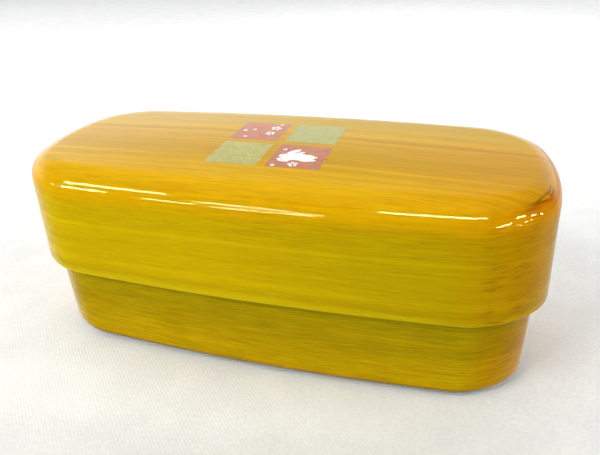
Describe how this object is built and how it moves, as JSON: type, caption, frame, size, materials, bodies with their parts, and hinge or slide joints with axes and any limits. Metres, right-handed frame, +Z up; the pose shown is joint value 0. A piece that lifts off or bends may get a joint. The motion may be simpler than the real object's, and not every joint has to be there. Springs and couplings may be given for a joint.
{
  "type": "bento box",
  "caption": "Slim oblong lunch box in glossy lacquered wood grain: a deep lift-off cap lid with rounded, gently bowed sides slips down over a narrower box.",
  "frame": {"origin": "middle of the underside, on the surface that the box stands on", "axes": "+X along the length, +Y across the width, +Z up"},
  "size_m": [0.2, 0.0878, 0.0769],
  "materials": {
    "lid": "golden yellow stain over straight grain, under a thick glossy clear lacquer",
    "box": "olive yellow stain over straight grain, under a thick glossy clear lacquer"
  },
  "bodies": {
    "root": {"box": "box", "lid": "lid"}
  },
  "joints": []
}
